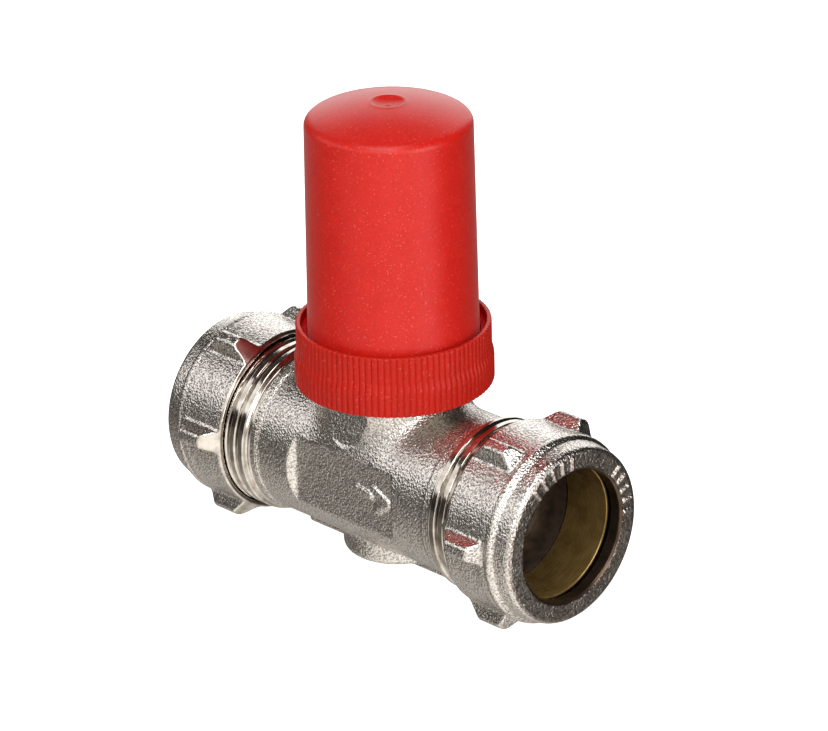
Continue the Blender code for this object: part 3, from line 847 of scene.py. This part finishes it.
def ring_outline():
    step_low, step_high = RING_STEP_Z
    flare_z = np.linspace(step_high, step_low, 9)
    flare = [(RING_R - RING_STEP * ease(h, step_low, step_high), h, 0.0) for h in flare_z]
    shell = [
        (RING_R - RING_STEP, RING_TOP_Z, 0.3),
        *flare,
        (RING_R, RING_BASE_Z, 0.3),
        (RING_BORE_R, RING_BASE_Z, 0.2),
        (RING_BORE_R, RING_LIP_Z[0], 0.0),
        (RING_LIP_R, RING_LIP_Z[0], 0.2),
        (RING_LIP_R, RING_LIP_Z[1], 0.2),
        (RING_RIM_R, RING_LIP_Z[1], 0.3),
        (RING_RIM_R, RING_TOP_Z, 0.2),
    ]
    return rounded(shell)


def rib_ripple(angle, radius, height):
    """Rounded ribs with narrow valleys on the ring's outside."""
    valley = 1 - np.abs(np.cos(RIB_COUNT / 2 * angle))
    return -RIB_DEPTH * valley**1.5 * ease(radius, RING_RIM_R, RING_RIM_R + RING_RIM_EDGE)


def seal_outline(major, minor, place):
    turns = np.arange(SEAL_SIDES) * TURN / SEAL_SIDES
    return [(major + minor * math.cos(-t), place + minor * math.sin(-t)) for t in turns]


def washer_outline(inner, outer, z_range, edge):
    low, high = z_range
    corners = ((outer, high), (outer, low), (inner, low), (inner, high))
    return rounded([(r, h, edge) for r, h in corners], 2)


# ------------------------------------------------------------------ materials


class Tree:
    """The nodes of a material or a world, with short ways to add to them."""

    def __init__(self, owner):
        owner.use_nodes = True
        self.tree = owner.node_tree

    def add(self, kind, **settings):
        node = self.tree.nodes.new(kind)
        for key, value in settings.items():
            setattr(node, key, value)
        return node

    def set(self, node, socket, value):
        """Links an output to a socket, or sets the socket's own value."""
        if isinstance(value, bpy.types.NodeSocket):
            self.tree.links.new(value, node.inputs[socket])
        else:
            node.inputs[socket].default_value = value

    def sum(self, a, b, weight):
        node = self.add("ShaderNodeMath", operation="MULTIPLY_ADD")
        self.set(node, 0, b)
        self.set(node, 1, weight)
        self.set(node, 2, a)
        return node.outputs[0]


class Surface(Tree):
    """A new material."""

    def __init__(self, name, color, roughness, metallic):
        self.material = bpy.data.materials.new(name)
        super().__init__(self.material)
        self.shader = self.tree.nodes["Principled BSDF"]
        self.set(self.shader, "Base Color", (*color, 1))
        self.set(self.shader, "Roughness", roughness)
        self.set(self.shader, "Metallic", metallic)
        self.material.diffuse_color = (*color, 1)
        self.place = self.add("ShaderNodeTexCoord").outputs["Object"]

    def noise(self, size_mm, detail=2.0, roughness=0.5, stretch=None):
        """Noise whose features are about size_mm wide, or drawn out by a factor along each axis."""
        node = self.add("ShaderNodeTexNoise")
        place = self.place
        if stretch:
            mapping = self.add("ShaderNodeMapping")
            self.set(mapping, "Vector", place)
            self.set(mapping, "Scale", tuple(1 / s for s in stretch))
            place = mapping.outputs["Vector"]
        self.set(node, "Vector", place)
        self.set(node, "Scale", 0.6 / (size_mm * MM))
        self.set(node, "Detail", detail)
        self.set(node, "Roughness", roughness)
        return node.outputs["Fac"]

    def cells(self, size_mm):
        node = self.add("ShaderNodeTexVoronoi")
        self.set(node, "Vector", self.place)
        self.set(node, "Scale", 1 / (size_mm * MM))
        return node.outputs["Distance"]

    def remap(self, value, low, high, to_low, to_high):
        node = self.add("ShaderNodeMapRange")
        ends = {"From Min": low, "From Max": high, "To Min": to_low, "To Max": to_high}
        for socket, number in ends.items():
            self.set(node, socket, number)
        self.set(node, "Value", value)
        return node.outputs["Result"]

    def mix(self, factor, color_a, color_b):
        """Mixes two colours; the first may be an output."""
        node = self.add("ShaderNodeMix", data_type="RGBA")
        self.set(node, 0, factor)
        self.set(node, 6, color_a if isinstance(color_a, bpy.types.NodeSocket) else (*color_a, 1))
        self.set(node, 7, (*color_b, 1))
        return node.outputs[2]

    def bump(self, height, depth_mm):
        node = self.add("ShaderNodeBump")
        self.set(node, "Height", height)
        self.set(node, "Distance", depth_mm * MM)
        self.set(node, "Strength", 1.0)
        self.set(self.shader, "Normal", node.outputs["Normal"])


# pale specks are painted glints of the grain
PAINTED_GLINT_SPECK = (0.85, 0.30, 0.26)
DARK_SPECK = (0.38, 0.006, 0.003)
CAP_SHEEN = 0.26              # it was moulded in a blasted tool, so it is paler at a glancing angle
SHEEN_ROUGHNESS = 0.35
SHEEN_TINT = (1.0, 0.62, 0.56)


def blasted_metal(name, color, dark, grain_mm, depth_mm, roughness):
    """Cast metal, shot-blasted to a bright grain and then plated."""
    n = Surface(name, color, roughness[0], 1.0)
    grain = n.sum(n.noise(grain_mm, detail=1.0), n.cells(grain_mm * 1.6), 0.35)
    n.bump(n.sum(grain, n.noise(grain_mm * 6), 0.25), depth_mm)
    n.set(n.shader, "Base Color", n.mix(n.remap(grain, 0.52, 0.74, 0, 1), dark, color))
    n.set(n.shader, "Roughness", n.remap(n.noise(2.5), 0.3, 0.7, *roughness))
    return n.material


def turned_metal(name, color, dark, roughness, axis, metallic=1.0, depth_mm=0.004):
    """Machined metal with fine lines left by the lathe, round the given axis."""
    n = Surface(name, color, roughness[0], metallic)
    stretch = (1, 60, 60) if axis == "X" else (60, 60, 1)
    lines = n.noise(0.12, detail=3.0, roughness=0.7, stretch=stretch)
    n.bump(n.sum(lines, n.noise(1.5), 0.6), depth_mm)
    n.set(n.shader, "Base Color", n.mix(n.remap(n.noise(1.2, detail=4), 0.4, 0.65, 0, 1), color, dark))
    n.set(n.shader, "Roughness", n.remap(lines, 0.3, 0.7, *roughness))
    return n.material


def moulded_plastic(name, color, light, grain_mm, depth_mm, roughness, specular, sheen=0.0):
    """Satin moulded plastic with a fine grain, cloudy patches, dark specks, and pale specks that are
    painted glints.
    """
    n = Surface(name, color, roughness[0], 0.0)
    grain = n.noise(grain_mm, detail=2.0, roughness=0.6)
    n.bump(grain, depth_mm)
    cloudy = n.mix(n.remap(n.noise(grain_mm * 12), 0.35, 0.7, 0, 1), color, light)
    fuzzy = n.mix(n.remap(n.noise(grain_mm * 1.3, detail=1.0), 0.35, 0.65, 0.3, 0), cloudy, DARK_SPECK)
    # sparse pale specks: painted glints
    glint_speck = n.remap(n.noise(grain_mm, detail=0.0), 0.70, 0.80, 0, 0.18)
    n.set(n.shader, "Base Color", n.mix(glint_speck, fuzzy, PAINTED_GLINT_SPECK))
    n.set(n.shader, "Roughness", n.remap(grain, 0.3, 0.7, *roughness))
    n.set(n.shader, "Specular IOR Level", specular)
    n.set(n.shader, "Sheen Weight", sheen)
    n.set(n.shader, "Sheen Roughness", SHEEN_ROUGHNESS)
    n.set(n.shader, "Sheen Tint", (*SHEEN_TINT, 1.0))
    return n.material


def dull_material(name, color, light, grain_mm, depth_mm, roughness):
    """Rubber or PTFE, with a soft fine grain."""
    n = Surface(name, color, roughness[0], 0.0)
    grain = n.noise(grain_mm, detail=3.0)
    n.bump(grain, depth_mm)
    n.set(n.shader, "Base Color", n.mix(n.remap(grain, 0.3, 0.7, 0, 1), color, light))
    n.set(n.shader, "Roughness", n.remap(grain, 0.3, 0.7, *roughness))
    return n.material


BLASTED = blasted_metal(
    "nickel_blasted", (0.76, 0.72, 0.67), (0.40, 0.37, 0.34), 0.22, 0.13, (0.2, 0.28)
)
# darker copy of the blasted nickel for the nuts' outer faces: painted shade
CAST_PAINTED_SHADE = blasted_metal(
    "nickel_cast_painted_shade", (0.58, 0.51, 0.46), (0.22, 0.185, 0.165), 0.22, 0.14, (0.26, 0.36)
)
TURNED_X = turned_metal(
    "nickel_turned_run", (0.66, 0.62, 0.56), (0.42, 0.37, 0.32), (0.07, 0.15), "X", 1.0, 0.007
)
TURNED_Z = turned_metal("nickel_turned_neck", (0.68, 0.65, 0.60), (0.45, 0.41, 0.36), (0.10, 0.2), "Z")
# bare metal of the bores and sockets, its colour darkened as painted shade of their insides
BORE = turned_metal(
    "socket_bare_metal_painted_shade", (0.22, 0.165, 0.12), (0.12, 0.09, 0.065), (0.26, 0.4), "X", 0.7
)
# bare metal of the nut's bore, darkened nearly to black as painted shade inside the nut
NUT_BORE = turned_metal(
    "nut_bore_bare_metal_painted_shade", (0.10, 0.066, 0.045), (0.06, 0.04, 0.028), (0.2, 0.32), "X", 0.8
)
# the olive's brass, at about half the turned brass's colour as painted shade inside the nut's mouth
BRASS_X = turned_metal(
    "brass_olive", (0.39, 0.255, 0.085), (0.28, 0.175, 0.05), (0.2, 0.3), "X", 0.65, 0.0012
)
BRASS_Z = turned_metal("brass_turned", (0.78, 0.60, 0.28), (0.55, 0.40, 0.16), (0.18, 0.3), "Z")
STEEL = turned_metal("steel_turned", (0.62, 0.62, 0.61), (0.4, 0.4, 0.4), (0.2, 0.32), "Z")
RED_CAP = moulded_plastic(
    "red_cap", (0.575, 0.009, 0.004), (0.605, 0.012, 0.006), 0.2, 0.03, (0.32, 0.42), 0.38, CAP_SHEEN
)
RED_RING = moulded_plastic(
    "red_ring", (0.46, 0.010, 0.003), (0.50, 0.013, 0.005), 0.22, 0.008, (0.34, 0.44), 0.22
)
# the ring's red made deeper and more saturated, with almost no specular: painted shade of the hollow inside
# the rim
RED_RING_PAINTED_SHADE = moulded_plastic(
    "red_ring_inside_painted_shade", (0.50, 0.003, 0.002), (0.54, 0.005, 0.003), 0.22, 0.004, (0.5, 0.6), 0.03
)
RUBBER = dull_material(
    "black_rubber", (0.018, 0.018, 0.02), (0.035, 0.035, 0.035), 0.1, 0.006, (0.5, 0.65)
)
PTFE = dull_material("white_ptfe", (0.80, 0.80, 0.77), (0.88, 0.88, 0.86), 0.15, 0.004, (0.38, 0.5))


# ------------------------------------------------------------------ pieces


def make_casting():
    reach = CAST_END_X + 0.2
    low = (-reach, -RUN_R - 0.5, BOSS_Z - 0.6)
    high = (reach, RUN_R + 0.5, NECK_CAST_TOP_Z)
    body = skin("body_casting", casting, low, high, BODY_CELL)
    give(body, BLASTED, BORE)

    # faces of the water's space: bare metal with painted shade
    def is_bare_and_shaded(x, y, z):
        return np.abs(water_space(*np.array((x, y, z), float))) < BARE_SHADED_METAL_DEPTH

    paint(body, is_bare_and_shaded)
    mount(body, "valve", "valve_body")


def make_run_ends():
    right = turned("body_thread_right", run_end_outline(), RUN_FACETS, run_thread_ripple, "X", 40)
    give(right, TURNED_X, BORE, BLASTED)

    def finish_of(x, y, z):
        # the socket gets the bare metal with painted shade
        inside = np.hypot(y, z) < SOCKET_SIDE_R
        return np.select([inside, np.abs(x) < THREAD_START_X - 0.2], [1, 2], 0)

    paint(right, finish_of)
    left = mirror_x(right, "body_thread_left")
    mount(right, "valve", "valve_body")
    mount(left, "valve", "valve_body")


def make_collar():
    collar = turned("body_collar_thread", collar_outline(), COLLAR_FACETS, collar_ripple)
    mount(give(collar, TURNED_Z), "valve", "valve_body")


def make_nuts():
    low = (NUT_IN_X, -LUG_CREST_R - 0.2, -LUG_CREST_R - 0.2)
    high = (NUT_FACE_X + TICK_HEIGHT, LUG_CREST_R + 0.2, LUG_CREST_R + 0.2)
    right = skin("nut_right", nut, low, high, NUT_CELL)
    give(right, BLASTED, TURNED_X, NUT_BORE, CAST_PAINTED_SHADE)

    def finish_of(x, y, z):
        radius = np.hypot(y, z)
        machined = (np.abs(turned_end(x, radius)) < 0.09) | (x < NUT_IN_X + 0.06)
        # the bore gets the bare metal with painted shade
        bore = (radius < NUT_BORE_R + 0.5) | ((radius < NUT_THREAD_R + 0.1) & (x < NUT_FACE_X - 1))
        # the outer face gets the blasted nickel's darker copy, painted shade
        face = (x > NUT_FACE_X - 0.25) & (radius > NUT_BORE_R + 0.3)
        return np.select([machined, bore, face], [1, 2, 3], 0)

    paint(right, finish_of)
    left = mirror_x(right, "nut_left")
    mount(right, "right_nut", "compression_nut_right")
    mount(left, "left_nut", "compression_nut_left")


def make_olives():
    right = give(turned("olive_ring_right", olive_outline(), RUN_FACETS, axis="X"), BRASS_X)
    left = mirror_x(right, "olive_ring_left")
    mount(right, "right_olive", "olive_right")
    mount(left, "left_olive", "olive_left")


def make_cap():
    cap = turned("cap_shell", cap_outline(), CAP_FACETS, crease=60)
    mount(give(cap, RED_CAP), "cap", "lockshield_cap")
    ring = turned("cap_ring_ribbed", ring_outline(), RIB_COUNT * RIB_FACETS, rib_ripple, crease=60)
    give(ring, RED_RING, RED_RING_PAINTED_SHADE)
    # faces inside the rim and above the lip get the painted shade
    paint(ring, lambda x, y, z: (np.hypot(x, y) < RING_RIM_R + 0.01) & (z > RING_LIP_Z[0]))
    mount(ring, "ring", "cap_ring")


def standing(name, field, reach, z_range, cell=FINE_CELL):
    """Skins a piece that stands on the spindle's axis."""
    low, high = z_range
    return skin(name, field, (-reach, -reach, low), (reach, reach, high), cell)


def washer(name, inner, outer, z_range, edge=0.1):
    return turned(name, washer_outline(inner, outer, z_range, edge), SMALL_FACETS)


def make_headwork():
    stem = standing("bonnet_headwork", bonnet, BONNET_REACH, BONNET_Z)
    mount(give(stem, BRASS_Z), "valve", "bonnet")
    gland = standing("gland_nut_hexed", gland_nut, GLAND_NUT_REACH, GLAND_NUT_Z)
    mount(give(gland, BRASS_Z), "valve", "gland_nut")
    follower = washer("gland_follower_ring", STEM_HOLE_R, PACKING_R, FOLLOWER_Z)
    mount(give(follower, BRASS_Z), "valve", "gland_follower")
    packing = washer("gland_packing_ring", STEM_HOLE_R, PACKING_R, PACKING_Z, 0.3)
    mount(give(packing, PTFE), "valve", "gland_packing")
    thrust = washer("thrust_washer_ring", STEM_HOLE_R, THRUST_R, THRUST_Z)
    mount(give(thrust, PTFE), "valve", "thrust_washer")
    seal = turned("bonnet_seal", seal_outline(*BONNET_SEAL_R, BONNET_SEAL_Z), BONNET_SEAL_FACETS)
    mount(give(seal, RUBBER), "valve", "bonnet_o_ring")


def make_spindle():
    shaft = standing("spindle_shaft", spindle, SPINDLE_REACH, SPINDLE_Z)
    mount(give(shaft, BRASS_Z), "spindle", "spindle")
    clip = standing("spindle_clip", circlip, CLIP_REACH, CLIP_Z, TINY_CELL)
    mount(give(clip, STEEL), "spindle", "spindle_circlip")
    for name, place in zip(("lower", "upper"), SEAL_Z):
        seal = turned("spindle_seal_" + name, seal_outline(*SEAL_R, place), SMALL_FACETS)
        mount(give(seal, RUBBER), "spindle", "spindle_o_ring_" + name)


def make_plug():
    body = standing("plug_jumper", plug, PLUG_REACH, PLUG_Z)
    mount(give(body, BRASS_Z), "plug", "valve_plug")
    seat = washer("seat_washer_disc", STUD_HOLE_R, SEAT_WASHER_R, SEAT_WASHER_Z, 0.3)
    mount(give(seat, RUBBER), "plug", "seat_washer")
    plate = washer("washer_plate_disc", STUD_HOLE_R, WASHER_PLATE_R, WASHER_PLATE_Z)
    mount(give(plate, STEEL), "plug", "washer_plate")
    small_nut = standing("washer_nut_hexed", washer_nut, WASHER_NUT_REACH, WASHER_NUT_Z, TINY_CELL)
    mount(give(small_nut, STEEL), "plug", "washer_nut")


# ------------------------------------------------------------------ stage


def area_light(name, azimuth, elevation, size, radiance):
    """Softbox that faces the valve; azimuth and elevation are measured as the camera's are, in degrees."""
    back = toward(azimuth, elevation)
    data = bpy.data.lights.new(name, "AREA")
    data.shape = "RECTANGLE"
    data.size, data.size_y = size
    data.energy = 4 * radiance * size[0] * size[1]
    light = bpy.data.objects.new(name, data)
    bpy.context.scene.collection.objects.link(light)
    light.location = back * LIGHT_DISTANCE
    light.rotation_euler = (-back).to_track_quat("-Z", "Y").to_euler()
    light.visible_camera = False


def toward(azimuth, elevation):
    a, e = math.radians(azimuth), math.radians(elevation)
    return Vector((math.sin(a) * math.cos(e), -math.cos(a) * math.cos(e), math.sin(e)))


def patches(n, direction, level, *spots):
    """A level plus each spot's gain: full within its inner reach, fading to nothing at its outer reach."""
    for azimuth, elevation, inner, outer, gain in spots:
        dot = n.add("ShaderNodeVectorMath", operation="DOT_PRODUCT")
        n.set(dot, 0, direction)
        n.set(dot, 1, toward(azimuth, elevation))
        window = n.add("ShaderNodeMapRange", interpolation_type="SMOOTHSTEP")
        n.set(window, "From Min", math.cos(math.radians(outer)))
        n.set(window, "From Max", math.cos(math.radians(inner)))
        n.set(window, "Value", dot.outputs["Value"])
        level = n.sum(level, window.outputs["Result"], gain)
    return level


def make_world():
    """Studio surroundings: pale below, dark above, brighter where the table is lit, white to the camera."""
    world = bpy.data.worlds.new("studio")
    bpy.context.scene.world = world
    n = Tree(world)
    place = n.add("ShaderNodeTexCoord").outputs["Generated"]
    split = n.add("ShaderNodeSeparateXYZ")
    n.set(split, 0, place)
    shift = n.add("ShaderNodeMapRange")
    n.set(shift, "From Min", -1)
    n.set(shift, "Value", split.outputs["Z"])
    ramp = n.add("ShaderNodeValToRGB")
    n.set(ramp, "Fac", shift.outputs["Result"])
    elements = ramp.color_ramp.elements
    for element, (position, color) in zip(elements, (WORLD_STOPS[0], WORLD_STOPS[-1])):
        element.position = position
        element.color = (*color, 1)
    for position, color in WORLD_STOPS[1:-1]:
        elements.new(position).color = (*color, 1)
    backdrop = n.tree.nodes["Background"]
    n.set(backdrop, "Color", ramp.outputs["Color"])
    n.set(backdrop, "Strength", patches(n, place, 1, DARK_CORNER))
    glow = n.add("ShaderNodeBackground")
    n.set(glow, "Color", TABLE_GLOW)
    n.set(glow, "Strength", patches(n, place, 0, *LIT_TABLE))
    surroundings = n.add("ShaderNodeAddShader")
    n.set(surroundings, 0, backdrop.outputs[0])
    n.set(surroundings, 1, glow.outputs[0])
    white = n.add("ShaderNodeBackground")
    n.set(white, "Color", (1, 1, 1, 1))
    pick = n.add("ShaderNodeMixShader")
    n.set(pick, 0, n.add("ShaderNodeLightPath").outputs["Is Camera Ray"])
    n.set(pick, 1, surroundings.outputs[0])
    n.set(pick, 2, white.outputs[0])
    n.set(n.tree.nodes["World Output"], "Surface", pick.outputs[0])


def make_floor():
    """Wide pale sheet under the lowest lugs; it glows a little, as a lit light table does."""
    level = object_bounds()[0].z / MM - FLOOR_GAP
    corners = [(x, y, level) for x, y in ((-1, -1), (1, -1), (1, 1), (-1, 1))]
    corners = [(x * FLOOR_HALF, y * FLOOR_HALF, z) for x, y, z in corners]
    floor = make_mesh("floor", corners, [[0, 1, 2, 3]])
    n = Surface("floor_paper", (0.9, 0.9, 0.9), 0.7, 0.0)
    fine = n.remap(n.noise(2.0, detail=3), 0.3, 0.7, 0, 1)
    n.set(n.shader, "Base Color", n.mix(fine, (0.88, 0.88, 0.88), (0.92, 0.92, 0.92)))
    n.set(n.shader, "Emission Color", (1, 1, 1, 1))
    n.set(n.shader, "Emission Strength", 0.9)
    give(floor, n.material)
    floor.visible_glossy = False
    floor.visible_diffuse = False


def make_camera():
    back = toward(CAMERA_AZIMUTH, CAMERA_ELEVATION)
    level = toward(CAMERA_AZIMUTH + 90, 0)
    up = back.cross(level)
    across = math.cos(CAMERA_ROLL) * level + math.sin(CAMERA_ROLL) * up
    upright = math.cos(CAMERA_ROLL) * up - math.sin(CAMERA_ROLL) * level
    data = bpy.data.cameras.new("camera")
    data.sensor_width = SENSOR_WIDTH
    data.lens = CAMERA_LENS
    data.clip_start, data.clip_end = 0.01, 50
    camera = bpy.data.objects.new("camera", data)
    bpy.context.scene.collection.objects.link(camera)
    turn = np.array([across, upright, back]).T
    place = (across * CAMERA_OFFSET[0] + upright * CAMERA_OFFSET[1] + back * CAMERA_DISTANCE) * MM
    camera.matrix_world = Matrix([[*turn[i], place[i]] for i in range(3)] + [[0, 0, 0, 1]])
    bpy.context.scene.camera = camera


make_camera()
make_casting()
make_run_ends()
make_collar()
make_nuts()
make_olives()
make_cap()
make_headwork()
make_spindle()
make_plug()
make_world()
make_floor()
for light in LIGHTS:
    area_light(*light)
bpy.context.scene.view_settings.view_transform = "Standard"
